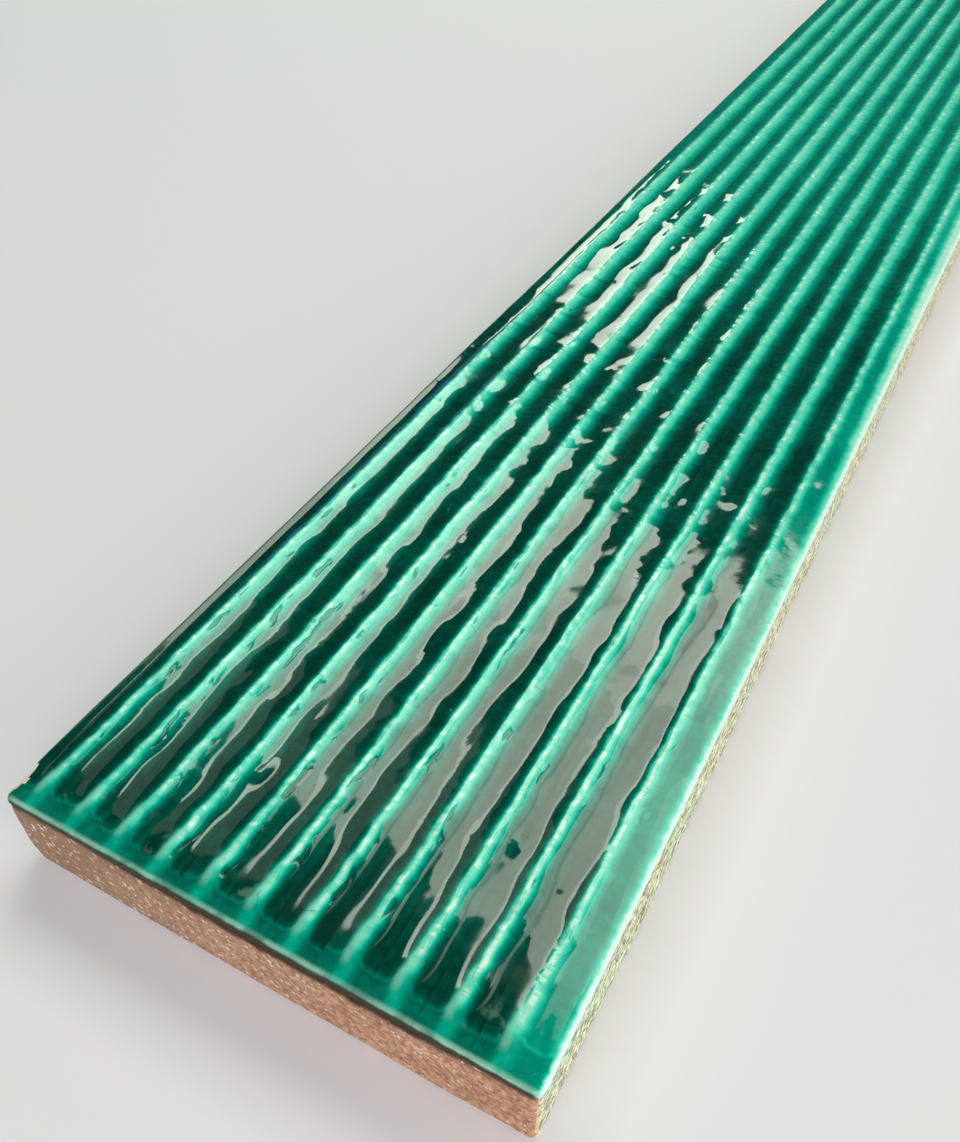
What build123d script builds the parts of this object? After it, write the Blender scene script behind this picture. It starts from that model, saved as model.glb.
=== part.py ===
from build123d import *
import os

# A long, narrow ceramic tile. It is one piece of red clay, pressed in a mould with a ribbed face,
# glazed green on that face and fired. Here it lies on its back: X runs across the tile, Y along
# it and Z up, and the origin is the middle of its back face.

# The slab
length = 400
width = 65
thickness = 12              # back face to the tops of the ribs
arris_radius = 0.6          # the two long edges of the glazed face
back_edge_radius = 0.7      # the right long edge of the back
slumped_edge_radius = 3.5   # the left long edge of the back, which sagged round before firing
end_edge_radius = 0.4       # all round the two end faces

# The ribs of the glazed face, and the grooves between them
rib_pitch = 5.7
rib_width = 1.3             # between the rims of two grooves
rib_rounding = 0.8          # the soft shoulders of a rib
first_rib = 3.45            # left side of the tile to the middle of the first rib
right_border = 4            # the least flat margin along the right side
groove_depth = 0.7
runout_radius = 12          # the arc on which a groove climbs out at its ends
end_border = 2.8            # plain band between a groove and the end of the tile

# The narrow groove between the left side and the first rib
left_lip = 1                # left side of the tile to the rim of this groove
side_groove_depth = 0.4
side_groove_rounding = 0.25

rib_count = int((width - first_rib - right_border) / rib_pitch) + 1
groove_width = rib_pitch - rib_width
side_groove_width = first_rib - rib_width / 2 - left_lip
first_groove = first_rib + rib_pitch / 2
side_groove = left_lip + side_groove_width / 2


def groove_tool(opening, depth):
    """A round bar along Y, turned up at both ends, whose underside is the floor of a groove."""
    bar_radius = (opening**2 / 4 + depth**2) / (2 * depth)
    bar_height = thickness - depth + bar_radius
    underside_radius = runout_radius + bar_radius
    runout = (underside_radius**2 - (underside_radius - depth) ** 2) ** 0.5
    half_run = length / 2 - end_border - runout
    pivot = bar_height + runout_radius
    with BuildPart() as tool:
        with BuildSketch(Plane.XZ):
            with Locations((0, bar_height)):
                Circle(bar_radius)
        extrude(amount=half_run, both=True)
        near_end, far_end = tool.faces().filter_by(Axis.Y).sort_by(Axis.Y)
        revolve(far_end, axis=Axis((0, half_run, pivot), (1, 0, 0)), revolution_arc=90)
        revolve(near_end, axis=Axis((0, -half_run, pivot), (-1, 0, 0)), revolution_arc=90)
    return tool.part


def rim_radius(wanted, opening, depth):
    """The rounding of a groove's rims, kept within its half of the rib beside it."""
    half_slope = 2 * depth / opening
    return min(wanted, 0.9 * rib_width / 2 / half_slope)


groove_bar = groove_tool(groove_width, groove_depth)
side_bar = groove_tool(side_groove_width, side_groove_depth)

with BuildPart() as ribbed_tile:
    # The section of the slab, with its four long edges
    with BuildSketch(Plane.XZ) as section:
        with Locations((0, thickness / 2)):
            Rectangle(width, thickness)
        fillet(section.vertices().group_by(Axis.Y)[-1], arris_radius)
        fillet(section.vertices().group_by(Axis.Y)[0].sort_by(Axis.X)[0], slumped_edge_radius)
        fillet(section.vertices().group_by(Axis.Y)[0].sort_by(Axis.X)[-1], back_edge_radius)
    extrude(amount=length / 2, both=True)
    fillet(ribbed_tile.faces().filter_by(Axis.Y).edges(), end_edge_radius)

    # The narrow groove at the left side, with its crisp rims
    with Locations((side_groove - width / 2, 0)):
        add(side_bar, mode=Mode.SUBTRACT)
    glazed_face = ribbed_tile.faces().sort_by(Axis.Z)[-1]
    side_rim_radius = rim_radius(side_groove_rounding, side_groove_width, side_groove_depth)
    fillet(glazed_face.inner_wires().edges(), side_rim_radius)

    # The grooves between the ribs, with soft shoulders that leave each rib a round top
    for n in range(rib_count - 1):
        with Locations((first_groove + n * rib_pitch - width / 2, 0)):
            add(groove_bar, mode=Mode.SUBTRACT)
    glazed_face = ribbed_tile.faces().sort_by(Axis.Z)[-1]
    rims = glazed_face.inner_wires().sort_by(Axis.X)[1:]
    fillet(rims.edges(), rim_radius(rib_rounding, groove_width, groove_depth))

ribbed_tile.part.label = "ribbed_tile"

os.makedirs("parts", exist_ok=True)
export_step(ribbed_tile.part, "parts/ribbed_tile.step")
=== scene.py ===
# %% [markdown]
# A ribbed wall tile of red clay, glazed green on its face.
# The tile is one fired piece, so it is modelled as one closed mesh: a fine grid for the ribbed
# face, rings of points for the sides, and one flat back. The alternatives were a subdivided slab
# with a displacement map, which would leave the shape in the material, and separate sheets for
# glaze and clay, which the real tile doesn't have. Numbers here are in millimetres, as a tile
# maker would write them, and turn into metres when the mesh is made.

# %% Load the frame
import math

import bpy
import numpy as np
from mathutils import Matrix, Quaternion, Vector


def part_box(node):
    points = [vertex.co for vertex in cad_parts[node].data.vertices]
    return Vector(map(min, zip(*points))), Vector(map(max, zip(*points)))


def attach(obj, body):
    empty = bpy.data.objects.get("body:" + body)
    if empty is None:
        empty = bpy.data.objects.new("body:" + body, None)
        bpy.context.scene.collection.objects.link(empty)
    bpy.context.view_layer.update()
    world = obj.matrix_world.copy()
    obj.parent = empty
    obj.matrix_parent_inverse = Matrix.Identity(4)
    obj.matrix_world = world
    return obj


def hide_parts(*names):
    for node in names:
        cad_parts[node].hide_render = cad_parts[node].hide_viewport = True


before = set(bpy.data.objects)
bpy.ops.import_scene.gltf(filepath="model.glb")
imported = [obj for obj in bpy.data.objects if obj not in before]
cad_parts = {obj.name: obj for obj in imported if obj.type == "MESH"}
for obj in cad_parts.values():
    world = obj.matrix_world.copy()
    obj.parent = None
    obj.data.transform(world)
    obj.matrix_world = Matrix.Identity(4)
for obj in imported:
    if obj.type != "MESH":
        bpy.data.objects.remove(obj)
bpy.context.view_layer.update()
MM = 0.001
low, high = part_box("ribbed_tile")
WIDTH, LENGTH, THICK = [side / MM for side in high - low]
print("tile", round(WIDTH, 2), "x", round(LENGTH, 2), "x", round(THICK, 2), "mm")

# %% [markdown]
# The camera.
# The photo looks down along the tile from above its near right corner. Its edges can be matched
# only by the right distance as well as the right direction, so the camera's place, its aim and
# its focal length were fitted together to the tile's edges and ribs in the photo. The fit takes
# the picture's middle for the middle of the lens, as in a photo that isn't cropped.

# %% Camera
CAMERA_AT = (44.9, -233.6, 108.6)
CAMERA_AIM = (-3.88, -144.87, 12.0)
FOCAL_LENGTH = 33.74        # for a 36 mm sensor along the picture's long side


def aim(thing, place, target):
    """Puts a camera or a lamp at a place and turns it to a target, both in millimetres."""
    thing.location = Vector(place) * MM
    direction = Vector(target) - Vector(place)
    thing.rotation_mode = "QUATERNION"
    thing.rotation_quaternion = direction.to_track_quat("-Z", "Y")
    bpy.context.scene.collection.objects.link(thing)


camera_data = bpy.data.cameras.new("camera")
camera_data.lens = FOCAL_LENGTH
camera_data.sensor_width = 36
camera_data.clip_start = 5 * MM
camera = bpy.data.objects.new("camera", camera_data)
aim(camera, CAMERA_AT, CAMERA_AIM)
bpy.context.scene.camera = camera
bpy.context.scene.view_settings.view_transform = "Standard"
print("camera", [round(x, 4) for x in camera.location])

# %% [markdown]
# Seeded noise for the shape.
# A pressed and glazed tile is never exact, and each departure has its own scale. A grid of
# random numbers, joined by a smooth curve, gives waves of a chosen size in each direction.
# The seed makes them the same on every run.


# %% Smooth random waves
def smooth_step(t):
    """A ramp from 0 to 1 with level ends."""
    t = np.clip(t, 0, 1)
    return t * t * (3 - 2 * t)


def waves(x, y, size_x, size_y, seed):
    """Smooth noise from -1 to 1, whose waves are about size_x by size_y."""
    grid = np.random.default_rng(seed).uniform(-1, 1, (256, 256))
    u, v = np.asarray(x) / size_x + 64, np.asarray(y) / size_y + 64
    i, j = np.floor(u).astype(int), np.floor(v).astype(int)
    s, t = smooth_step(u - i), smooth_step(v - j)
    near = grid[i % 256, j % 256] * (1 - s) + grid[(i + 1) % 256, j % 256] * s
    far = grid[i % 256, (j + 1) % 256] * (1 - s) + grid[(i + 1) % 256, (j + 1) % 256] * s
    return near * (1 - t) + far * t


print("waves", np.round(waves(np.arange(3), np.arange(3), 2, 2, 1), 3))

# %% [markdown]
# The ribbed face.
# Clay ribs stand under the glaze, and the glaze ran off them into the grooves. What shows outside
# is a soft wave only half a millimetre deep: it falls steeply off the right of a rib, lies nearly
# level over the groove, and climbs slowly to the next rib. A row of bevelled curves could make
# it, but a height for each point lets every rib wander and swell as a hand-glazed one does. That
# unevenness matters here, because it is what bends the edges of the window's reflection.

# %% One wave of the section
RIB_PITCH = 5.7
FIRST_RIB = 3.45            # left side of the tile to the first rib
RIB_COUNT = 11
WAVE_DEPTH = 0.5            # groove to rib top, measured on the glaze


def rib_height(beyond, before):
    """Height of the glaze from 0 to 1, from the distances past the last rib and short of the next."""
    falling = np.exp(-((beyond / 0.95) ** 1.45))
    rising = np.exp(-((before / 1.45) ** 1.3))
    return falling + rising


steps = np.linspace(0, RIB_PITCH, 7)
print("one wave", np.round(rib_height(steps, RIB_PITCH - steps), 2))

# %% [markdown]
# Drops and dents.
# Here and there the glaze has run together over a groove in a low, long drop. At such a place
# the reflections from both sides of a groove meet or break off. The drops are a seeded list
# of places with a soft round height at each.

# %% Drops of glaze
DROP_COUNT = 110
DROP_HEIGHT = 0.13
drop_draw = np.random.default_rng(31)
drop_rib = drop_draw.integers(0, RIB_COUNT - 1, DROP_COUNT)
drop_x = FIRST_RIB + (drop_rib + drop_draw.uniform(0.35, 0.75, DROP_COUNT)) * RIB_PITCH
drop_y = drop_draw.uniform(12, LENGTH - 12, DROP_COUNT)
drop_long = drop_draw.uniform(1.0, 2.4, DROP_COUNT)
drop_size = DROP_HEIGHT * drop_draw.uniform(-0.6, 1.2, DROP_COUNT)


def drops(x, y):
    """Height of the drops and dents, in millimetres."""
    total = np.zeros_like(x)
    for place_x, place_y, reach, size in zip(drop_x, drop_y, drop_long, drop_size):
        total += size * np.exp(-(((x - place_x) / 0.9) ** 2) - ((y - place_y) / reach) ** 2)
    return total


print("drops", DROP_COUNT, "highest", round(drop_size.max(), 3), "mm")

# %% [markdown]
# The whole face.
# The wave repeats from rib to rib. The first rib has a lip on its left, the last one a flat
# margin on its right, and at both ends the ribs sink into a plain border. Broad and fine waves
# of noise lie over all of it.

# %% Depth of the face
END_LEVEL = 0.12            # height of the end border, as a share of the wave
MARGIN_LEVEL = 0.45         # height of the right margin
RUNOUT_START = 0.8          # where the ribs begin to rise, from either end
RUNOUT_LENGTH = 6.5         # how far they take to rise
CALM_FROM = 92              # beyond this the broad waves are lower


def face_depth(x, y):
    """How far the glazed face lies below the rib tops, x from the left side, y from the near end."""
    from_end = np.minimum(y, LENGTH - y)
    place = (x - FIRST_RIB) / RIB_PITCH
    # Each rib draws its own waves: it sways to the side, and its flanks are fuller or fatter
    line = 40 * np.clip(np.round(place), 0, RIB_COUNT - 1)
    sway = 0.19 * waves(line, y, 8, 2.9, 11) + 0.22 * waves(line, y, 8, 7.7, 17)
    fuller = 1 + 0.32 * waves(line, y, 8, 4.9, 19)
    fatter = 1 + 0.28 * waves(line, y, 8, 5.3, 20)
    place = place - sway / RIB_PITCH
    last = np.clip(np.floor(place), -1, RIB_COUNT - 1)
    beyond = np.where(last < 0, 9, (place - last) * RIB_PITCH)
    before = np.where(last > RIB_COUNT - 2, 9, (last + 1 - place) * RIB_PITCH)
    fatter = fatter * (1 + 0.6 * smooth_step((last - 2.5) / 3) * smooth_step((y - 80) / 30))
    fatter = np.where(last < 0, 0.6, fatter)
    height = rib_height(np.maximum(beyond, 0) / fuller, np.maximum(before, 0) / fatter)
    height = height * (1 - 0.12 * (1 + waves(line, y, 8, 4.3, 13)))
    # The margin, the lip and the run-outs at the ends
    height = np.where(last > RIB_COUNT - 2, MARGIN_LEVEL + (1 - MARGIN_LEVEL) * height, height)
    height = np.maximum(height, 0.6 * np.exp(-((np.maximum(x - 0.4, 0) / 0.45) ** 2)))
    start = RUNOUT_START + 0.5 * waves(x, y * 0, 3, 10, 14)
    run = smooth_step((from_end - start) / RUNOUT_LENGTH)
    height = END_LEVEL + (height - END_LEVEL) * run
    # Waves that take no notice of the ribs, and the glaze's sag at the ends and the right side
    swell = 0.055 * waves(x, y, 3.7, 8.3, 15) + 0.055 * waves(x, y, 2.6, 4.4, 16)
    swell = swell + 0.01 * waves(x, y, 1.7, 2.6, 18)
    calm = 0.2 + 0.8 * smooth_step((from_end - 5) / 18)
    swell = swell * (1 - 0.4 * smooth_step((y - CALM_FROM) / 30))
    swell = (swell - drops(x, y)) * calm
    sag = 0.12 * smooth_step(1 - from_end / 4) + 0.06 * smooth_step(1 - (WIDTH - x) / 2)
    return np.maximum(WAVE_DEPTH * (1 - height) + swell + sag + 0.12, 0)


print("groove", round(float(face_depth(np.array([32.0]), np.array([50.0]))[0]), 2), "mm deep")

# %% [markdown]
# Where the points go.
# A grid with even squares would waste points on the groove floors and starve the ribs and the
# arrises, where the face turns in under a millimetre. So the lines of the grid are packed close
# beside the four sides and on the rib tops, and wide between them. At each corner the square
# grid is pressed into a quarter circle, because the clay's corners are soft.

# %% Lines of the grid
ARRIS = 0.6                 # rounding of the four long edges of the face
CORNER = 1.2                # rounding of the tile's upright corners
ROW_SPACING = 0.88
EDGE_STEPS = ARRIS * (1 - np.cos(np.linspace(0, math.pi / 2, 5)))
# Places of grid lines from the middle of a rib, and on the lip from the middle of the first rib
RIB_STEPS = (-1.15, -0.75, -0.45, -0.2, 0.05, 0.3, 0.55, 0.85, 1.2, 1.6, 2.05, 2.55, 3.05, 3.55, 4.05)
LIP_STEPS = (-2.4, -2.0, -1.6)


def across_lines():
    """Places across the tile, from the left side."""
    inner = list(FIRST_RIB + np.array(LIP_STEPS))
    for rib in range(RIB_COUNT):
        for step in RIB_STEPS:
            inner.append(FIRST_RIB + rib * RIB_PITCH + step)
    inner = np.array([x for x in inner if ARRIS + 0.2 < x < WIDTH - ARRIS - 0.2])
    return np.concatenate([EDGE_STEPS, inner, (WIDTH - EDGE_STEPS)[::-1]])


def along_lines(spacing):
    """Places along the tile, from the near end."""
    inner = np.linspace(ARRIS, LENGTH - ARRIS, round((LENGTH - 2 * ARRIS) / spacing) + 1)
    return np.concatenate([EDGE_STEPS[:-1], inner, (LENGTH - EDGE_STEPS[:-1])[::-1]])


def round_corners(x, y, x0, x1, y0, y1, radius):
    """Presses the corners of a square grid into quarter circles."""
    core_x = np.clip(x, x0 + radius, x1 - radius)
    core_y = np.clip(y, y0 + radius, y1 - radius)
    dx, dy = x - core_x, y - core_y
    reach = np.hypot(dx, dy)
    scale = np.where(reach > 1e-9, np.maximum(np.abs(dx), np.abs(dy)) / np.maximum(reach, 1e-9), 1)
    return core_x + dx * scale, core_y + dy * scale


columns = across_lines()
rows = along_lines(ROW_SPACING)
print("grid", len(columns), "by", len(rows), "points")

# %% [markdown]
# The face, the sides and the back as one skin.
# The face grid ends on a ring of points just over the arris. Each further ring steps down the
# sides, and the last one closes on the flat back. Rings are a simple way to give each side its
# own edge: the left one is slumped round at the back, the others are nearly sharp. The bare
# clay is only ever pushed inwards, so the tile stays its real size. One corner of the glaze
# is knocked off, and there the points of the face are pressed down into a shallow chip.

# %% Points
SLUMPED_EDGE = 3.5          # rounding of the left back edge
BACK_EDGE = 0.7             # rounding of the other back edges
SIDE_FOOT = 3.5             # height at which the sides' upper rings end
UPPER_RINGS = (1, 0.94, 0.75, 0.5, 0.25, 0)     # shares of the way from there up to the glaze
LOWER_RINGS = (2.2, 1.3, 0.7, 0.3, 0.08, 0)     # heights over the back
CHIP_AT = (0.0, 2.9)
CHIP_REACH = (0.9, 1.7)     # half its size across and along the tile
CHIP_DEPTH = 0.35


def side_inset(z, radius):
    """How far a side has drawn in at a height, near a rounded back edge."""
    below = np.maximum(radius - z, 0)
    return radius - np.sqrt(radius**2 - below**2)


def roughen(x, y, z):
    """How far bare clay lies under its ideal surface."""
    along = x + y
    coarse = 0.09 * (1 + waves(along, z, 9, 4, 21))
    fine = 0.035 * (1 + waves(along, z, 1.3, 1.1, 22))
    return coarse + fine


def chip(x, y):
    """How deep the knocked-off corner is at a place."""
    away = np.hypot((x - CHIP_AT[0]) / CHIP_REACH[0], (y - CHIP_AT[1]) / CHIP_REACH[1])
    ragged = away + 0.25 * waves(x, y, 0.5, 0.9, 23)
    return CHIP_DEPTH * smooth_step((1.15 - ragged) / 0.5)


def face_points():
    """The glazed face, with its arris turned down all round."""
    x, y = np.meshgrid(columns, rows, indexing="ij")
    px, py = round_corners(x, y, 0, WIDTH, 0, LENGTH, CORNER)
    inset = np.minimum(np.minimum(x, WIDTH - x), np.minimum(y, LENGTH - y))
    turn = np.clip(inset, 0, ARRIS)
    drop = ARRIS - np.sqrt(ARRIS**2 - (ARRIS - turn) ** 2)
    return px, py, THICK - drop - face_depth(px, py) - chip(px, py)


def ring_order():
    """The points of the grid's rim, once round, as pairs of column and row numbers."""
    last_column, last_row = len(columns) - 1, len(rows) - 1
    near = [(i, 0) for i in range(last_column)]
    right = [(last_column, j) for j in range(last_row)]
    far = [(i, last_row) for i in range(last_column, 0, -1)]
    left = [(0, j) for j in range(last_row, 0, -1)]
    return np.array(near + right + far + left)


face_x, face_y, face_z = face_points()
rim = ring_order()
rim_x, rim_y = columns[rim[:, 0]], rows[rim[:, 1]]
rim_z = face_z[rim[:, 0], rim[:, 1]]
heights = [SIDE_FOOT + (rim_z - 0.1 - SIDE_FOOT) * share for share in UPPER_RINGS]
heights += [np.full_like(rim_z, z) for z in LOWER_RINGS]
ring_points = []
for z in heights:
    left = side_inset(z, SLUMPED_EDGE)
    other = side_inset(z, BACK_EDGE)
    x0, x1, y0, y1 = left, WIDTH - other, other, LENGTH - other
    x = x0 + (x1 - x0) * rim_x / WIDTH
    y = y0 + (y1 - y0) * rim_y / LENGTH
    x, y = round_corners(x, y, x0, x1, y0, y1, CORNER)
    rough = roughen(x, y, z)
    middle_x, middle_y = np.clip(x, 3, WIDTH - 3), np.clip(y, 3, LENGTH - 3)
    away = np.maximum(np.hypot(x - middle_x, y - middle_y), 1e-9)
    x = x - rough * (x - middle_x) / away
    y = y - rough * (y - middle_y) / away
    ring_points.append(np.stack([x, y, z], axis=1))
print("rings", len(heights), "of", len(rim), "points, glaze ends at", np.round(rim_z.min(), 2), "mm")

# %% Faces
column_count, row_count = face_x.shape
number = np.arange(column_count * row_count).reshape(column_count, row_count)
points = [np.stack([face_x.ravel(), face_y.ravel(), face_z.ravel()], axis=1)]
points += ring_points
points = np.concatenate(points)
top_quads = np.stack([number[:-1, :-1], number[1:, :-1], number[1:, 1:], number[:-1, 1:]], axis=-1)
top_quads = top_quads.reshape(-1, 4)
ring_numbers = [number[rim[:, 0], rim[:, 1]]]
for n in range(len(heights)):
    ring_numbers.append(column_count * row_count + n * len(rim) + np.arange(len(rim)))
side_quads = []
for upper, lower in zip(ring_numbers[:-1], ring_numbers[1:]):
    side_quads.append(np.stack([upper, lower, np.roll(lower, -1), np.roll(upper, -1)], axis=1))
side_quads = np.concatenate(side_quads)
back = list(ring_numbers[-1][::-1])

mesh = bpy.data.meshes.new("tile")
points = (points - [WIDTH / 2, LENGTH / 2, 0]) * MM
mesh.from_pydata(points.tolist(), [], top_quads.tolist() + side_quads.tolist() + [back])
mesh.validate()
for polygon in mesh.polygons:
    polygon.use_smooth = True
mesh.polygons[-1].use_smooth = False
tile = bpy.data.objects.new("tile", mesh)
bpy.context.scene.collection.objects.link(tile)
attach(tile, "root")
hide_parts("ribbed_tile")
mesh.calc_loop_triangles()
print("tile mesh", len(mesh.vertices), "points", len(mesh.loop_triangles), "triangles")

# %% [markdown]
# Building materials out of nodes.
# Every finish below is worked out from the place on the tile, in millimetres, and not from a
# picture. A few short helpers keep the wiring readable: put makes a node, calc, product and
# turn_to do arithmetic, ease makes a soft mask out of a distance, blend and ramp make colours,
# and node_group and use make a group with named sockets and place it.

# %% Node helpers
def put(tree, kind, settings=None, **inputs):
    """Adds a node. Inputs are numbers, colours or other nodes' sockets, by socket name."""
    made = tree.nodes.new("ShaderNode" + kind)
    for name, value in (settings or {}).items():
        setattr(made, name, value)
    for name, value in inputs.items():
        connect(tree, value, made.inputs[name.replace("_", " ")])
    return made


def connect(tree, value, socket):
    """Links a socket to another, or sets a plain value on it."""
    if isinstance(value, bpy.types.NodeSocket):
        tree.links.new(value, socket)
    else:
        socket.default_value = value


def calc(tree, operation, *values):
    """One Math node, such as calc(tree, "ADD", a, 0.5)."""
    made = tree.nodes.new("ShaderNodeMath")
    made.operation = operation
    for value, socket in zip(values, made.inputs):
        connect(tree, value, socket)
    return made.outputs[0]


def ease(tree, value, start, end, low=0.0, high=1.0):
    """Carries a value from low at start to high at end, with soft shoulders."""
    made = put(tree, "MapRange", {"interpolation_type": "SMOOTHSTEP"}, Value=value)
    for socket, number in zip(made.inputs[1:5], (start, end, low, high)):
        connect(tree, number, socket)
    return made.outputs["Result"]


def product(tree, *values):
    """Several numbers or masks multiplied together."""
    total = values[0]
    for value in values[1:]:
        total = calc(tree, "MULTIPLY", total, value)
    return total


def turn_to(tree, factor, first, second):
    """Carries one number over to another, as blend does with colours."""
    return calc(tree, "ADD", first, calc(tree, "MULTIPLY", factor, calc(tree, "SUBTRACT", second, first)))


def blend(tree, factor, first, second):
    """Mixes two colours."""
    made = tree.nodes.new("ShaderNodeMix")
    made.data_type = "RGBA"
    connect(tree, factor, made.inputs["Factor"])
    connect(tree, first, made.inputs[6])
    connect(tree, second, made.inputs[7])
    return made.outputs[2]


def ramp(tree, factor, stops):
    """A colour ramp from a few given stops of (place, colour)."""
    made = tree.nodes.new("ShaderNodeValToRGB")
    connect(tree, factor, made.inputs["Fac"])
    while len(made.color_ramp.elements) < len(stops):
        made.color_ramp.elements.new(0.5)
    for element, (place, colour) in zip(made.color_ramp.elements, stops):
        element.position = place
        element.color = (*colour, 1)
    return made.outputs["Color"]


def noise(tree, x, y, z, scale=1.0, detail=2.0, roughness=0.5):
    """Smooth noise from 0 to 1 at a place given by three numbers."""
    place = put(tree, "CombineXYZ", X=x, Y=y, Z=z).outputs[0]
    made = put(tree, "TexNoise", Vector=place, Scale=scale, Detail=detail, Roughness=roughness)
    return made.outputs["Fac"]


def node_group(name, inputs, outputs):
    """A new node group of number sockets. Inputs map names to plain values, outputs are names."""
    tree = bpy.data.node_groups.new(name, "ShaderNodeTree")
    for label, value in inputs.items():
        socket = tree.interface.new_socket(label, in_out="INPUT", socket_type="NodeSocketFloat")
        socket.default_value = value
    for label in outputs:
        tree.interface.new_socket(label, in_out="OUTPUT", socket_type="NodeSocketFloat")
    return tree, tree.nodes.new("NodeGroupInput").outputs, tree.nodes.new("NodeGroupOutput").inputs


def use(tree, group, **inputs):
    """Places a node group in a material or in another group, and returns its outputs."""
    made = tree.nodes.new("ShaderNodeGroup")
    made.node_tree = group
    for name, value in inputs.items():
        connect(tree, value, made.inputs[name.replace("_", " ")])
    return made.outputs


# %% [markdown]
# Where on the tile?
# The object's own coordinates are its real place, so a group can turn them into a tile maker's
# measures: millimetres from the left side, from the near end and from the back, and how far the
# nearest end is. Every finish starts from these, so nothing depends on where the camera stands.

# %% Place on the tile
tile_place, _, out = node_group("tile_place", {}, ["From left", "From near", "Height", "From end"])
tree = tile_place
spot = tree.nodes.new("ShaderNodeTexCoord").outputs["Object"]
axes = put(tree, "SeparateXYZ", Vector=spot).outputs
from_left = calc(tree, "MULTIPLY_ADD", axes["X"], 1 / MM, WIDTH / 2)
from_near = calc(tree, "MULTIPLY_ADD", axes["Y"], 1 / MM, LENGTH / 2)
from_end = calc(tree, "MINIMUM", from_near, calc(tree, "SUBTRACT", LENGTH, from_near))
connect(tree, from_left, out["From left"])
connect(tree, from_near, out["From near"])
connect(tree, calc(tree, "DIVIDE", axes["Z"], MM), out["Height"])
connect(tree, from_end, out["From end"])

# %% [markdown]
# Where on the rib?
# The glaze's colour depends on how far a point is from the top of its rib. The nearest rib comes
# from rounding, and the distance is kept with its sign, in rib pitches, because the left flank of
# a rib is steep and dark and the right one fades slowly.

# %% Place on the rib
rib_place, given, out = node_group(
    "rib_place", {"From left": 0.0, "From near": 0.0, "Wander": 0.1}, ["Rib", "Across"]
)
tree = rib_place
in_pitches = calc(tree, "DIVIDE", calc(tree, "SUBTRACT", given["From left"], FIRST_RIB), RIB_PITCH)
rib = calc(tree, "MINIMUM", calc(tree, "MAXIMUM", calc(tree, "ROUND", in_pitches), 0), RIB_COUNT - 1)
sway = noise(tree, calc(tree, "MULTIPLY", rib, 7.3), given["From near"], 0, scale=0.38, detail=2)
sway = calc(tree, "MULTIPLY", calc(tree, "SUBTRACT", sway, 0.5), given["Wander"])
connect(tree, rib, out["Rib"])
connect(tree, calc(tree, "ADD", calc(tree, "SUBTRACT", in_pitches, rib), sway), out["Across"])

# %% [markdown]
# Specks and streaks.
# Two kinds of small mark turn up on every surface of the tile. Specks are round: dust on the
# glaze, pale grit in the clay. Streaks are long: scratches on the glaze, drag marks in the clay,
# the brushed grain of the sides. Each is one group, and a material sets its size and how many
# there are. Specks are the middles of Voronoi cells, streaks are noise stretched one way.

# %% Specks
specks, given, out = node_group(
    "specks",
    {"From left": 0.0, "From near": 0.0, "Height": 0.0, "Spacing": 1.0, "Radius": 0.15, "Share": 0.5},
    ["Speck"],
)
tree = specks
spot = put(tree, "CombineXYZ", X=given["From left"], Y=given["From near"], Z=given["Height"]).outputs[0]
cells = put(tree, "TexVoronoi", Vector=spot, Scale=calc(tree, "DIVIDE", 1, given["Spacing"])).outputs
chance = put(tree, "SeparateXYZ", Vector=cells["Color"]).outputs
size = calc(tree, "MULTIPLY", given["Radius"], calc(tree, "ADD", chance["Y"], 0.5))
away = calc(tree, "MULTIPLY", cells["Distance"], given["Spacing"])
near_middle = ease(tree, calc(tree, "DIVIDE", away, size), 1.0, 0.6)
chosen = calc(tree, "LESS_THAN", chance["X"], given["Share"])
connect(tree, calc(tree, "MULTIPLY", near_middle, chosen), out["Speck"])

# %% Streaks
streaks, given, out = node_group(
    "streaks",
    {"Along": 0.0, "Across": 0.0, "Other": 0.0, "Length": 5.0, "Width": 0.3, "Threshold": 0.6,
     "Softness": 0.1},
    ["Streak"],
)
tree = streaks
long_way = calc(tree, "DIVIDE", given["Along"], given["Length"])
short_way = calc(tree, "DIVIDE", given["Across"], given["Width"])
third_way = calc(tree, "DIVIDE", given["Other"], given["Width"])
grain = noise(tree, long_way, short_way, third_way, scale=1, detail=3, roughness=0.55)
top = calc(tree, "ADD", given["Threshold"], given["Softness"])
connect(tree, ease(tree, grain, given["Threshold"], top), out["Streak"])

# %% [markdown]
# Crazing.
# Old glaze is crossed by hair-thin cracks that formed as it cooled on the clay. The walls
# between Voronoi cells have just that pattern. A noise bends them, and a second noise rubs out
# most of their length, since only parts of the net have taken up dirt.

# %% Hairline cracks
hairlines, given, out = node_group(
    "hairlines",
    {"From left": 0.0, "From near": 0.0, "Spacing": 7.0, "Width": 0.05, "Shown": 0.5},
    ["Crack"],
)
tree = hairlines
bend = noise(tree, given["From left"], given["From near"], 1, scale=0.7, detail=2)
bent = calc(tree, "MULTIPLY_ADD", bend, 1.1, given["From left"])
spot = put(tree, "CombineXYZ", X=bent, Y=given["From near"]).outputs[0]
per_mm = calc(tree, "DIVIDE", 1, given["Spacing"])
net = put(tree, "TexVoronoi", {"feature": "DISTANCE_TO_EDGE"}, Vector=spot, Scale=per_mm)
gap = calc(tree, "MULTIPLY", net.outputs["Distance"], given["Spacing"])
line = ease(tree, calc(tree, "DIVIDE", gap, given["Width"]), 1.0, 0.3)
rubbed = noise(tree, given["From left"], given["From near"], 5, scale=0.16, detail=3, roughness=0.65)
kept = ease(tree, rubbed, given["Shown"], calc(tree, "ADD", given["Shown"], 0.06))
connect(tree, calc(tree, "MULTIPLY", line, kept), out["Crack"])
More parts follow.
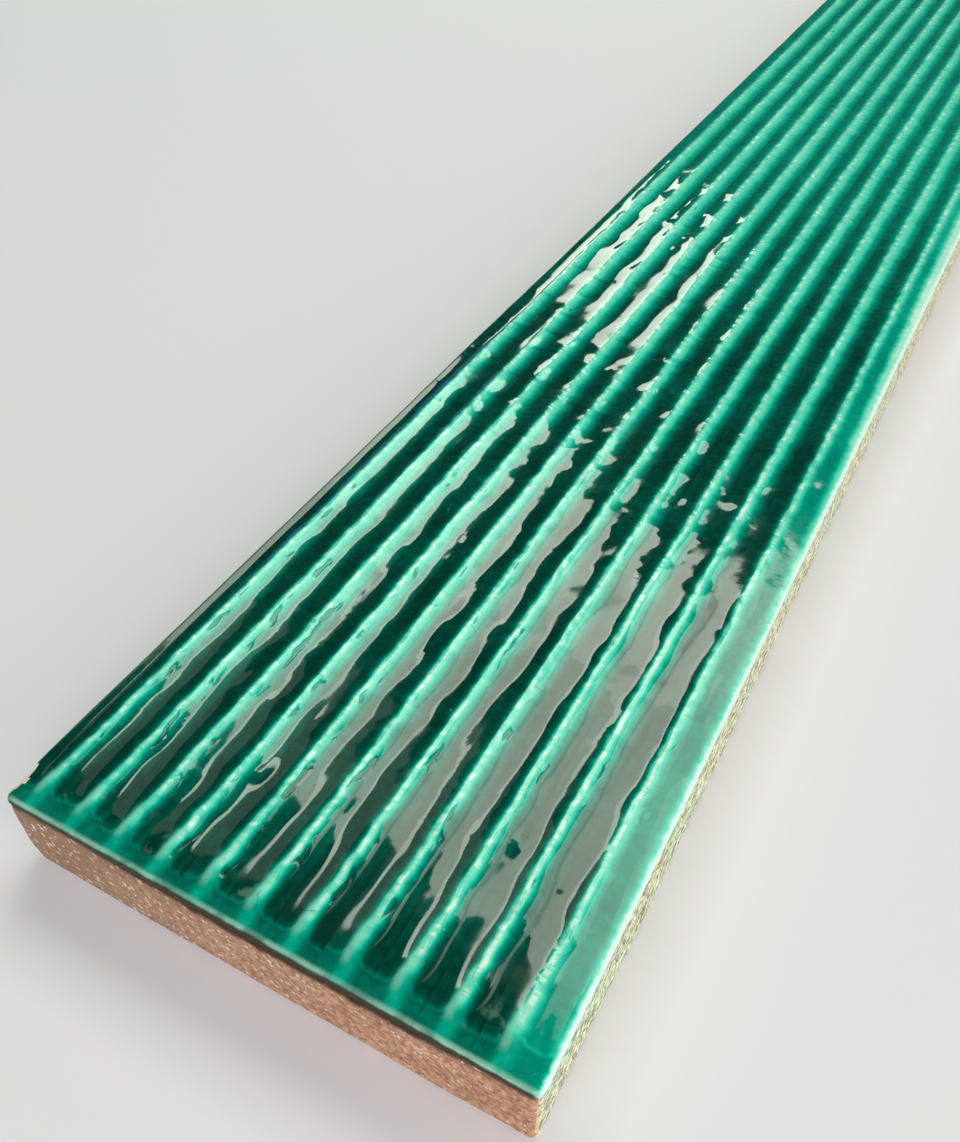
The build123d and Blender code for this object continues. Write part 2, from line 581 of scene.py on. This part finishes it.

# %% [markdown]
# Ripples in the glaze.
# The mesh holds every wave down to about two millimetres. Smaller ones are bump: beads along
# the rib tops, small pits just right of them, where gas escaped in the firing, and a fine orange
# peel that comes and goes. The group puts out a height in millimetres, and the pits and beads as
# masks, because the glaze is thicker and darker in a pit, and thinner and paler on a bead, where
# the pale is also a painted highlight of the rib tops.

# %% Fine relief of the glaze
glaze_ripples, given, out = node_group(
    "glaze_ripples",
    {"Rib": 0.0, "Across": 0.0, "From left": 0.0, "From near": 0.0, "From end": 0.0},
    ["Height", "Pits", "Beads"],
)
tree = glaze_ripples
sideways = calc(tree, "MULTIPLY", given["Across"], RIB_PITCH)
rib_offset = calc(tree, "MULTIPLY", given["Rib"], 17.3)
bead = noise(tree, rib_offset, given["From near"], 0, scale=0.62, detail=2, roughness=0.6)
on_crest = ease(tree, calc(tree, "ABSOLUTE", calc(tree, "ADD", given["Across"], 0.015)), 0.11, 0.02)
beads = calc(tree, "MULTIPLY", ease(tree, bead, 0.4, 0.62), on_crest)
pit_across = calc(tree, "DIVIDE", sideways, 1.3)
pit_along = calc(tree, "DIVIDE", given["From near"], 4.0)
pit = noise(tree, pit_across, pit_along, rib_offset, scale=1, detail=1)
right_of_crest = product(
    tree, ease(tree, given["Across"], 0.02, 0.07), ease(tree, given["Across"], 0.24, 0.15)
)
fewer_far = ease(tree, given["From near"], 30, 85, 0.0, 0.14)
fewer_right = ease(tree, given["Rib"], 3, 9, 0.0, 0.1)
pits = ease(tree, calc(tree, "SUBTRACT", pit, calc(tree, "ADD", fewer_far, fewer_right)), 0.57, 0.65)
pits = calc(tree, "MULTIPLY", pits, right_of_crest)
longer = calc(tree, "MULTIPLY", given["From near"], 0.7)
wobble = noise(tree, given["From left"], longer, 2, scale=0.42, detail=1)
peel = noise(tree, given["From left"], given["From near"], 4, scale=1.6, detail=1)
peeling = noise(tree, given["From left"], given["From near"], 9, scale=0.09, detail=2)
peel = calc(tree, "MULTIPLY", peel, ease(tree, peeling, 0.5, 0.66, 0.0006, 0.006))
height = calc(tree, "MULTIPLY_ADD", wobble, 0.04, peel)
height = calc(tree, "MULTIPLY", height, ease(tree, given["From end"], 5, 24, 0.2, 1.0))
height = calc(tree, "MULTIPLY", height, ease(tree, given["From near"], 85, 130, 1.0, 0.45))
height = calc(tree, "MULTIPLY_ADD", beads, 0.02, height)
height = calc(tree, "MULTIPLY_ADD", pits, -0.06, height)
connect(tree, height, out["Height"])
connect(tree, pits, out["Pits"])
connect(tree, beads, out["Beads"])

# %% [markdown]
# Glaze that pools.
# A transparent green glaze is pale where it is thin, on the tops of the ribs, and nearly black
# where it lies deep. Real depth could be rendered with a glass shell over white clay, but that
# would be slow and would be lost when the model is exported. So a depth from 0 to 1 is worked out
# from the place on the rib and disturbed by noise. A curve of a few points holds how it changes
# across one pitch. They were set one by one and adjusted until colours measured across the ribs of
# the render came near the photo's. The ends and the right margin have rules of their own.

# %% Depth of the glaze
glaze_depth, given, out = node_group(
    "glaze_depth",
    {"Rib": 0.0, "Across": 0.0, "From left": 0.0, "From near": 0.0, "From end": 0.0,
     "Pits": 0.0, "Beads": 0.0},
    ["Depth"],
)
tree = glaze_depth
# Pairs of place on the rib, in pitches from its top, and depth of the glaze there
FLANKS = ((-0.64, 0.88), (-0.4, 0.93), (-0.26, 0.94), (-0.19, 0.88), (-0.11, 0.66),
          (-0.06, 0.34), (-0.02, 0.2), (0.04, 0.18), (0.1, 0.22), (0.17, 0.31), (0.25, 0.47),
          (0.34, 0.65), (0.43, 0.8), (0.5, 0.88))
CURVE_SCALE, CURVE_SHIFT = 0.7, 0.45        # they bring the places between 0 and 1
PALEST_FAR = 0.2                            # the depth that stays as it is where contrast fades

# The pale band is wider in the tile's far part, a painted reflection of the grazing view,
# and it bends a little at the near end
far = ease(tree, given["From near"], 80, 200)
right_part = calc(tree, "MAXIMUM", given["Across"], 0.0)
left_part = calc(tree, "MINIMUM", given["Across"], 0.0)
wider = calc(tree, "MULTIPLY_ADD", right_part, 0.2, calc(tree, "MULTIPLY", left_part, 0.32))
across = calc(tree, "SUBTRACT", given["Across"], calc(tree, "MULTIPLY", wider, far))
across = calc(tree, "ADD", across, ease(tree, given["From near"], 13, 4, 0.0, 0.07))
profile = put(tree, "FloatCurve", Value=calc(tree, "MULTIPLY_ADD", across, CURVE_SCALE, CURVE_SHIFT))
curve = profile.mapping.curves[0]
for _ in range(len(FLANKS) - 2):
    curve.points.new(0.5, 0.5)
for point, (place, depth) in zip(curve.points, FLANKS):
    point.location = (place * CURVE_SCALE + CURVE_SHIFT, depth)
profile.mapping.update()
between = profile.outputs[0]

# The plain margin on the right has a depth of its own
dip = ease(tree, given["Across"], 0.02, 0.26, 0.18, 0.53)
outward = calc(tree, "ADD", given["Across"], ease(tree, given["From near"], 40, 190, -0.1, 0.12))
margin_rise = ease(tree, given["From near"], 60, 170, 0.35, 0.52)
margin = calc(tree, "SUBTRACT", dip, ease(tree, outward, 0.42, 0.68, 0.0, margin_rise))
last = calc(tree, "GREATER_THAN", given["Rib"], RIB_COUNT - 1.5)
on_margin = calc(tree, "MULTIPLY", last, calc(tree, "GREATER_THAN", given["Across"], 0.0))
off_margin = calc(tree, "SUBTRACT", 1, on_margin)
between = turn_to(tree, on_margin, between, margin)

# More glaze on the right flanks near the near end, and on those of the middle and right ribs
pooled = product(
    tree,
    ease(tree, given["From near"], 48, 8, 0.0, 0.27),
    ease(tree, given["Across"], 0.0, 0.2),
    ease(tree, given["Across"], 0.42, 0.24),
)
between = calc(tree, "ADD", between, calc(tree, "MULTIPLY", pooled, off_margin))
further_out = calc(tree, "SUBTRACT", given["Across"], ease(tree, given["From near"], 80, 115, 0.0, 0.13))
steeper = product(
    tree,
    ease(tree, given["Rib"], 2, 6),
    ease(tree, further_out, 0.06, 0.2),
    ease(tree, given["From near"], 110, 80, 0.08, 0.1),
)
between = calc(tree, "ADD", between, calc(tree, "MULTIPLY", steeper, off_margin))

# Painted reflection: contrast fades towards the far end, where the deep glaze is lifted paler for the
# sheen of the grazing view
above = calc(tree, "SUBTRACT", between, PALEST_FAR)
between = calc(tree, "MULTIPLY_ADD", above, ease(tree, given["From near"], 80, 245, 1.0, 0.55), PALEST_FAR)

# Slow and quick noise, drawn anew for each rib, then the pits, the beads and faint breaks
far_apart = calc(tree, "MULTIPLY", given["Rib"], 5.1)
slow = noise(tree, far_apart, given["From near"], 3, scale=0.11, detail=2)
stretched = calc(tree, "MULTIPLY", given["Across"], 5)
quick = noise(tree, stretched, given["From near"], far_apart, scale=0.9, detail=3)
slow_change = calc(tree, "MULTIPLY_ADD", slow, 0.3, -0.15)
change = calc(tree, "ADD", slow_change, calc(tree, "MULTIPLY_ADD", quick, 0.24, -0.12))
uneven = calc(tree, "ADD", between, calc(tree, "MULTIPLY", change, calc(tree, "ADD", between, 0.3)))
uneven = calc(tree, "MULTIPLY_ADD", given["Pits"], 0.26, uneven)
# Beads are paler: the glaze is thinner there, and the pale is also a painted highlight of the rib tops
uneven = calc(tree, "MULTIPLY_ADD", given["Beads"], -0.13, uneven)
rib_draw = calc(tree, "MULTIPLY", given["Rib"], 29.7)
break_at = noise(tree, rib_draw, given["From near"], given["Across"], scale=0.34, detail=1)
breaks = product(
    tree,
    ease(tree, given["From near"], 72, 92),
    ease(tree, given["From near"], 175, 125),
    ease(tree, given["Rib"], 7, 3, 0.15, 1.0),
    ease(tree, break_at, 0.56, 0.72, 0.0, 0.13),
)
uneven = calc(tree, "ADD", uneven, calc(tree, "MULTIPLY", breaks, off_margin))

# %% [markdown]
# The glaze towards the edges.
# The ends have a plain border of middling depth, which the pools between the ribs enter as
# rounded tongues, each with a thin pale rim. The right arris is nearly white over the last half
# millimetre, partly because the glaze ran off it and partly as a painted highlight.

# %% Border and arris
border = calc(tree, "MULTIPLY_ADD", between, 0.32, calc(tree, "MULTIPLY_ADD", quick, 0.2, 0.29))
deep = calc(tree, "MAXIMUM", calc(tree, "SUBTRACT", between, 0.4), -0.05)
reach = calc(tree, "MULTIPLY_ADD", deep, 2.2, given["From end"])
reach = calc(tree, "MULTIPLY_ADD", calc(tree, "SUBTRACT", slow, 0.5), 3.0, reach)
run = ease(tree, reach, 2.4, 5.0)
pool = turn_to(tree, run, border, uneven)
rim_line = calc(tree, "MULTIPLY", ease(tree, reach, 3.2, 3.6), ease(tree, reach, 4.1, 3.6))
off_crest = ease(tree, calc(tree, "ABSOLUTE", given["Across"]), 0.1, 0.2)
pool = calc(tree, "MULTIPLY_ADD", calc(tree, "MULTIPLY", rim_line, off_crest), -0.12, pool)
# Painted highlight and thin glaze: the last half millimetre of the right arris turns nearly white
from_right = calc(tree, "SUBTRACT", WIDTH, given["From left"])
thin_glaze_and_highlight = ease(tree, calc(tree, "MULTIPLY_ADD", quick, 0.4, from_right), 1.0, 0.45)
arris_depth = calc(tree, "MULTIPLY", quick, 0.06)
connect(tree, turn_to(tree, thin_glaze_and_highlight, pool, arris_depth), out["Depth"])

# %% [markdown]
# The green glaze.
# The depth is looked up in a ramp from mint to bottle green, set one by one and adjusted in the same
# way. The marks lie on top of that: pale smudges where the ribs run out, dirt in the cracks, a
# pale line on the end arrises, partly worn glaze and partly a painted sheen, with burnt glaze
# under it, a greyish line on the left lip, scratches and dust.
# The surface is nearly as smooth as glass, because a blurred reflection would hide the ripples.

# %% Glaze material
DEPTH_COLOURS = (
    # Depth 0 is near white, reached on beads and on the right arris: thin glaze and a painted highlight
    (0.0, (0.82, 0.97, 0.86)),
    (0.1, (0.3, 0.74, 0.55)),
    (0.2, (0.11, 0.67, 0.47)),
    (0.32, (0.02, 0.5, 0.345)),
    (0.45, (0.0, 0.33, 0.22)),
    (0.6, (0.0, 0.195, 0.13)),
    (0.75, (0.0, 0.108, 0.07)),
    (0.88, (0.0, 0.06, 0.038)),
    (1.0, (0.0, 0.034, 0.02)),
)
SMUDGE_COLOUR = (0.42, 0.76, 0.58, 1)
CRACK_DIRT = (0.0, 0.03, 0.022, 1)
WORN_GLAZE_AND_SHEEN = (0.34, 0.62, 0.46, 1)
BURNT_GLAZE = (0.025, 0.022, 0.008, 1)
LIP_LINE = (0.3, 0.42, 0.34, 1)
PALE_DUST = (0.75, 0.85, 0.75, 1)


def material(name, **plain):
    """A new material with a Principled BSDF. Plain values are set on the shader's own sockets."""
    made = bpy.data.materials.new(name)
    made.use_nodes = True
    shader = made.node_tree.nodes["Principled BSDF"]
    for label, value in plain.items():
        shader.inputs[label.replace("_", " ")].default_value = value
    return made, made.node_tree, shader.inputs


glaze, tree, shader = material("green_glaze", IOR=1.5)
place = use(tree, tile_place)
on_rib = use(tree, rib_place, From_left=place["From left"], From_near=place["From near"], Wander=0.14)
ripples = use(
    tree,
    glaze_ripples,
    Rib=on_rib["Rib"],
    Across=on_rib["Across"],
    From_left=place["From left"],
    From_near=place["From near"],
    From_end=place["From end"],
)
depth = use(
    tree,
    glaze_depth,
    Rib=on_rib["Rib"],
    Across=on_rib["Across"],
    From_left=place["From left"],
    From_near=place["From near"],
    From_end=place["From end"],
    Pits=ripples["Pits"],
    Beads=ripples["Beads"],
)["Depth"]
colour = ramp(tree, depth, DEPTH_COLOURS)

# Pale smudges where the ribs run out, and dirt in the cracks
cloud = noise(tree, place["From left"], place["From near"], 7, scale=0.35, detail=3)
on_runouts = product(
    tree, ease(tree, place["From end"], 1.8, 3.0), ease(tree, place["From end"], 7.0, 4.0)
)
beside_crest = calc(tree, "ABSOLUTE", calc(tree, "ADD", on_rib["Across"], 0.1))
beside_crest = ease(tree, beside_crest, 0.12, 0.02)
spots = calc(tree, "MULTIPLY", ease(tree, cloud, 0.6, 0.7), 0.5)
smudge = calc(tree, "MULTIPLY", calc(tree, "MAXIMUM", beside_crest, spots), on_runouts)
colour = blend(tree, calc(tree, "MULTIPLY", smudge, 0.3), colour, SMUDGE_COLOUR)
crack = use(tree, hairlines, From_left=place["From left"], From_near=place["From near"])["Crack"]
colour = blend(tree, calc(tree, "MULTIPLY", crack, 0.35), colour, CRACK_DIRT)

# The end arrises, pale above from wear and a painted sheen, burnt below, and the line on the left lip
worn_to = calc(tree, "MULTIPLY_ADD", cloud, 0.3, place["From end"])
worn_and_sheen = calc(tree, "MULTIPLY", ease(tree, worn_to, 1.0, 0.5), ease(tree, cloud, 0.35, 0.6, 0.25, 0.7))
colour = blend(tree, worn_and_sheen, colour, WORN_GLAZE_AND_SHEEN)
burnt = ease(tree, worn_to, 0.46, 0.22)
colour = blend(tree, burnt, colour, BURNT_GLAZE)
off_lip = calc(tree, "ABSOLUTE", calc(tree, "SUBTRACT", place["From left"], 0.3))
colour = blend(tree, ease(tree, off_lip, 0.16, 0.04, 0.0, 0.5), colour, LIP_LINE)

# Scratches and dust, which are also rougher than the glaze
slanted = calc(tree, "ADD", place["From near"], calc(tree, "MULTIPLY", place["From left"], 0.8))
scratch = use(
    tree,
    streaks,
    Along=slanted,
    Across=calc(tree, "SUBTRACT", place["From left"], calc(tree, "MULTIPLY", place["From near"], 0.8)),
    Length=6.0,
    Width=0.12,
    Threshold=0.74,
    Softness=0.05,
)["Streak"]
dust = use(
    tree,
    specks,
    From_left=place["From left"],
    From_near=place["From near"],
    Height=1.0,
    Spacing=2.6,
    Radius=0.07,
    Share=0.3,
)["Speck"]
marks = calc(tree, "MAXIMUM", calc(tree, "MULTIPLY", scratch, 0.6), dust)
colour = blend(tree, calc(tree, "MULTIPLY", marks, 0.7), colour, PALE_DUST)
connect(tree, colour, shader["Base Color"])
haze = noise(tree, place["From left"], place["From near"], 11, scale=0.13, detail=3)
gloss = calc(tree, "MULTIPLY_ADD", burnt, 0.6, ease(tree, haze, 0.4, 0.7, 0.03, 0.09))
connect(tree, calc(tree, "MULTIPLY_ADD", marks, 0.4, gloss), shader["Roughness"])
bump = put(tree, "Bump", Height=ripples["Height"], Strength=1.0, Distance=MM)
connect(tree, bump.outputs[0], shader["Normal"])

# %% [markdown]
# Bare clay.
# The ends and the back are red clay, cut with a wire and fired. It is darkest just under the
# glaze, where the glaze soaked in and left an uneven olive-brown line. Pale grit shows as specks
# and the wire dragged light scratches across it at a slant. The specks and scratches are colour and
# bump at their real size, the line is colour and roughness.

# %% Clay material
CLAY_LIGHT = (0.84, 0.5, 0.34, 1)
CLAY_MIDDLE = (0.66, 0.35, 0.22, 1)
CLAY_DARK = (0.3, 0.13, 0.07, 1)
# Painted shade: the bare ends of the tile are darkened towards the left side
PAINTED_SHADE_CLAY = (0.3, 0.18, 0.115, 1)          # towards the left side
PALE_GRIT = (0.95, 0.76, 0.58, 1)
SOAK_COLOUR = (0.028, 0.015, 0.003, 1)
GLAZE_END = float(rim_z[rim[:, 1] == 0].mean())
print("glaze ends", round(GLAZE_END, 2), "mm above the back")


def clay_finish(tree, place):
    """Colour, roughness and height in millimetres of the bare clay."""
    left, near, height = place["From left"], place["From near"], place["Height"]
    # Red clay, darker under the glaze, with painted shade that darkens it towards the left
    broad = noise(tree, left, near, height, scale=0.12, detail=3)
    fine = noise(tree, left, near, height, scale=1.2, detail=5, roughness=0.7)
    colour = blend(tree, ease(tree, broad, 0.35, 0.65), CLAY_MIDDLE, CLAY_LIGHT)
    colour = blend(tree, ease(tree, fine, 0.64, 0.34, 0.0, 0.9), colour, CLAY_DARK)
    wobble = calc(tree, "MULTIPLY", noise(tree, left, near, height, scale=1.9, detail=3), 0.9)
    under = calc(tree, "MULTIPLY_ADD", broad, 3.0, height)
    colour = blend(tree, ease(tree, under, 8.6, 12.4, 0.0, 0.85), colour, CLAY_DARK)
    colour = blend(tree, ease(tree, left, 52, 0, 0.0, 0.8), colour, PAINTED_SHADE_CLAY)
    # Pale grit and the wire's drag marks
    grit = use(
        tree,
        specks,
        From_left=calc(tree, "ADD", left, wobble),
        From_near=calc(tree, "ADD", near, wobble),
        Height=calc(tree, "SUBTRACT", height, wobble),
        Spacing=0.58,
        Radius=0.21,
        Share=0.5,
    )
    drag = use(
        tree,
        streaks,
        Along=calc(tree, "SUBTRACT", left, height),
        Across=calc(tree, "ADD", left, height),
        Other=near,
        Length=1.1,
        Width=0.22,
        Threshold=0.56,
        Softness=0.12,
    )
    pale = calc(tree, "MAXIMUM", grit["Speck"], calc(tree, "MULTIPLY", drag["Streak"], 0.5))
    pale = calc(tree, "MULTIPLY", pale, ease(tree, broad, 0.3, 0.6, 0.55, 1.0))
    colour = blend(tree, calc(tree, "MULTIPLY", pale, 0.85), colour, PALE_GRIT)
    # The line where the glaze soaked in
    round_tile = calc(tree, "ADD", left, near)
    stretched = calc(tree, "MULTIPLY", height, 0.3)
    ragged = noise(tree, round_tile, stretched, 2, scale=0.45, detail=4, roughness=0.6)
    thick = product(tree, ease(tree, left, 10, 34, 0.9, 2.6), ease(tree, left, 60, 48, 0.3, 1.0))
    line_end = calc(tree, "SUBTRACT", GLAZE_END, calc(tree, "MULTIPLY", thick, ragged))
    soaked = ease(tree, calc(tree, "SUBTRACT", height, line_end), -0.9, 0.3)
    colour = blend(tree, calc(tree, "MULTIPLY", soaked, 0.95), colour, SOAK_COLOUR)
    rough = calc(tree, "MULTIPLY_ADD", soaked, -0.2, ease(tree, fine, 0.3, 0.7, 0.75, 0.95))
    relief = calc(tree, "MULTIPLY_ADD", fine, 0.4, calc(tree, "MULTIPLY", pale, 0.07))
    return colour, rough, relief


clay, tree, shader = material("bare_clay", Specular_IOR_Level=0.2)
place = use(tree, tile_place)
colour, rough, relief = clay_finish(tree, place)
connect(tree, colour, shader["Base Color"])
connect(tree, rough, shader["Roughness"])
bump = put(tree, "Bump", Height=relief, Strength=1.0, Distance=MM)
connect(tree, bump.outputs[0], shader["Normal"])

# %% [markdown]
# The washed long sides.
# Glaze and slip ran down the long sides and were wiped off again. What is left is a thin matt
# wash, cream to pale green, with the brown clay showing through it in slanting brush marks.
# It is its own material, because it covers the clay so well that little of it is left to see.

# %% Side material
WASH_CREAM = (0.85, 0.8, 0.52, 1)
WASH_GREEN = (0.68, 0.86, 0.56, 1)
WASH_PINK = (0.8, 0.62, 0.46, 1)            # towards the far end
BRUSH_BROWN = (0.2, 0.15, 0.08, 1)
GRAIN_DARK = (0.16, 0.14, 0.07, 1)
GRAIN_PALE = (1.0, 1.0, 0.74, 1)
GLAZE_RUN = (0.75, 0.95, 0.78, 1)
CORNER_CLAY = (0.76, 0.4, 0.2, 1)
wash, tree, shader = material("washed_side")
place = use(tree, tile_place)
near, height = place["From near"], place["Height"]
broad = noise(tree, near, height, 3, scale=0.09, detail=3)
colour = blend(tree, ease(tree, broad, 0.42, 0.6), WASH_CREAM, WASH_GREEN)
colour = blend(tree, ease(tree, near, 60, 200, 0.0, 0.75), colour, WASH_PINK)
brush = use(
    tree,
    streaks,
    Along=calc(tree, "ADD", near, height),
    Across=calc(tree, "SUBTRACT", height, calc(tree, "MULTIPLY", near, 0.6)),
    Other=0.0,
    Length=3.0,
    Width=0.7,
    Threshold=0.48,
    Softness=0.1,
)["Streak"]
show_through = calc(tree, "MULTIPLY", brush, ease(tree, near, 60, 220, 0.9, 0.4))
colour = blend(tree, show_through, colour, BRUSH_BROWN)
grain = noise(tree, near, height, 6, scale=1.6, detail=4, roughness=0.65)
colour = blend(tree, ease(tree, grain, 0.5, 0.62, 0.0, 0.9), colour, GRAIN_DARK)
colour = blend(tree, ease(tree, grain, 0.48, 0.38, 0.0, 0.9), colour, GRAIN_PALE)
top_run = ease(tree, calc(tree, "MULTIPLY_ADD", grain, 0.9, height), 10.7, 11.3)
colour = blend(tree, top_run, colour, GLAZE_RUN)
corner = ease(tree, calc(tree, "MULTIPLY_ADD", grain, 1.2, place["From end"]), 1.6, 0.9)
colour = blend(tree, calc(tree, "MULTIPLY", corner, 0.9), colour, CORNER_CLAY)
connect(tree, colour, shader["Base Color"])
connect(tree, ease(tree, grain, 0.3, 0.7, 0.5, 0.8), shader["Roughness"])
relief = calc(tree, "MULTIPLY_ADD", grain, 0.18, calc(tree, "MULTIPLY", brush, -0.07))
bump = put(tree, "Bump", Height=relief, Strength=1.0, Distance=MM)
connect(tree, bump.outputs[0], shader["Normal"])

# %% [markdown]
# Which face gets which finish.
# One mesh can carry several materials, and each of its faces holds the number of its own. The
# face grid is glaze. Round the sides, a face whose normal looks across the tile is washed, and
# one that looks along it is bare clay, as the back is. The few faces of the chip show the pale
# body, so they have a fourth, simple material.

# %% Chip material and face numbers
BODY_PALE = (0.93, 0.84, 0.66, 1)
BODY_TAN = (0.75, 0.66, 0.46, 1)
chipped, tree, shader = material("chipped_body", Roughness=0.75)
place = use(tree, tile_place)
crumbs = noise(tree, place["From left"], place["From near"], place["Height"], scale=2.2, detail=4)
colour = blend(tree, ease(tree, crumbs, 0.4, 0.65), BODY_PALE, BODY_TAN)
connect(tree, colour, shader["Base Color"])
bump = put(tree, "Bump", Height=crumbs, Strength=1.0, Distance=0.3 * MM)
connect(tree, bump.outputs[0], shader["Normal"])

for finish in (glaze, clay, wash, chipped):
    mesh.materials.append(finish)
GLAZE_FACE, CLAY_FACE, WASH_FACE, CHIP_FACE = range(4)
centre = points[top_quads].mean(axis=1) / MM + [WIDTH / 2, LENGTH / 2, 0]
for face in np.flatnonzero(chip(centre[:, 0], centre[:, 1]) > 0.5 * CHIP_DEPTH):
    mesh.polygons[face].material_index = CHIP_FACE
for polygon in mesh.polygons[len(top_quads):]:
    looks_across = abs(polygon.normal[0]) > abs(polygon.normal[1]) and polygon.center[2] > 0
    polygon.material_index = WASH_FACE if looks_across else CLAY_FACE
face_counts = np.bincount([polygon.material_index for polygon in mesh.polygons])
print("faces of glaze, clay, wash and chip", face_counts)

# %% [markdown]
# Floor and light.
# A glazed tile shows its surroundings as much as its own colour, so the lamps are part of the
# look. The photo's grooves mirror one large window ahead of the tile. It is built of level panes
# whose near ends are uneven, because the pale fingers in the nearest grooves have about that
# outline, and its upper row is brighter. On the tile's right margin the window's reflection ends
# in a soft, slanting line, which eight thin strips make. A brighter strip along the window's left
# side makes the thin light lines at the left of each reflection. A small slanted window far off
# on the left makes the pale bars on the first ribs. Large softboxes stand where the glaze can't
# mirror them to the camera and only carry the colour. A photo of a room wrapped round the scene
# would be quicker, but the reflections could then not be placed. The floor is plain and matt.

# %% Floor
FLOOR_COLOUR = (0.775, 0.725, 0.75, 1)
floor_mesh = bpy.data.meshes.new("floor")
floor_mesh.from_pydata([(-3, -3, 0), (3, -3, 0), (3, 3, 0), (-3, 3, 0)], [], [(0, 1, 2, 3)])
floor = bpy.data.objects.new("floor", floor_mesh)
bpy.context.scene.collection.objects.link(floor)
floor_paint, _, shader = material("pale_floor", Roughness=0.9)
shader["Base Color"].default_value = FLOOR_COLOUR
floor_mesh.materials.append(floor_paint)

# %% Lamps
WINDOW_HEIGHT = 1000
WINDOW_TINT = (0.94, 1.0, 0.85)
SKY_TINT = (0.2, 0.5, 1)
PANE_SIDES = (-500, -340, -180, -120, -20, 60, 140, 300)    # from the tile's middle line
PANE_ENDS = (500, 500, 490, 480, 450, 485, 500)             # from the tile's near end
TRANSOM = 880               # the bar between the lower and the brighter upper row of panes
WINDOW_TOP = 1200
MARGIN_PANE = 3             # the pane that the plain margin mirrors, a little dimmer
FADES = 8                   # strips that end the margin's reflection
FADE_CORNER = (-126, 460)   # left end and near side of the first strip
FADE_STEP = (10, -20)       # from one strip to the next
ROOM_COLOUR = (0.3, 0.9, 1, 1)
ROOM_STRENGTH = 0.09


def soft_light(name, size_x, size_y, radiance, tint):
    """A rectangular lamp whose face looks as bright as the radiance says."""
    light = bpy.data.lights.new(name, "AREA")
    light.shape = "RECTANGLE"
    light.size, light.size_y = size_x * MM, size_y * MM
    light.energy = radiance * math.pi * light.size * light.size_y
    light.color = tint
    return bpy.data.objects.new(name, light)


def panel(name, x0, x1, y0, y1, radiance, tint=(1, 1, 1), height=WINDOW_HEIGHT):
    """A level light above the tile, its sides given from the middle line and the near end."""
    lamp = soft_light(name, x1 - x0, y1 - y0, radiance, tint)
    lamp.location = ((x0 + x1) / 2 * MM, ((y0 + y1) / 2 - LENGTH / 2) * MM, height * MM)
    bpy.context.scene.collection.objects.link(lamp)


def upright_panel(name, place, size_x, size_z, radiance, tint=(1, 1, 1), roll=0):
    """A light that faces the tile's near end, turned in its own plane by roll."""
    lamp = soft_light(name, size_x, size_z, radiance, tint)
    aim(lamp, place, (0, -LENGTH / 2, THICK))
    lamp.rotation_quaternion @= Quaternion((0, 0, 1), math.radians(roll))


for pane, near_side in enumerate(PANE_ENDS):
    left_side, right_side = PANE_SIDES[pane : pane + 2]
    strength = 5.2 - 0.16 * ((left_side - PANE_SIDES[0]) / 160) ** 1.8
    if pane == MARGIN_PANE:
        strength *= 0.72
    panel(f"lower_pane_{pane}", left_side, right_side, near_side, TRANSOM, strength, WINDOW_TINT)
    strength *= 1.25
    panel(f"upper_pane_{pane}", left_side, right_side, TRANSOM, WINDOW_TOP, strength, WINDOW_TINT)
for fade in range(FADES):
    left_end = FADE_CORNER[0] + FADE_STEP[0] * fade
    near_side = FADE_CORNER[1] + FADE_STEP[1] * fade
    far_side = near_side - FADE_STEP[1]
    strength = 3.2 * (1 - (fade + 1) / 11)
    panel(f"slanting_end_{fade}", left_end, -20, near_side, far_side, strength, WINDOW_TINT)
panel("window_edge", -575, -500, 405, WINDOW_TOP, 8, WINDOW_TINT)
panel("side_window", -1000, -575, 405, 745, 0.6, WINDOW_TINT)
panel("key_softbox", 300, 1500, -1300, -300, 3.6)
panel("front_softbox", -400, 1000, -1900, -900, 5.2, height=700)
upright_panel("far_left_window", (-821, 1314, 539), 486, 246, 5.6, WINDOW_TINT, roll=-40)
upright_panel("sky_window", (-1463, 1164, 500), 700, 500, 0.7, SKY_TINT)
upright_panel("right_softbox", (1500, -150, 450), 1200, 900, 3.4)
print("lamps", len(bpy.data.lights))

world = bpy.data.worlds.new("studio")
bpy.context.scene.world = world
world.use_nodes = True
room = world.node_tree.nodes["Background"].inputs
room["Color"].default_value = ROOM_COLOUR
room["Strength"].default_value = ROOM_STRENGTH
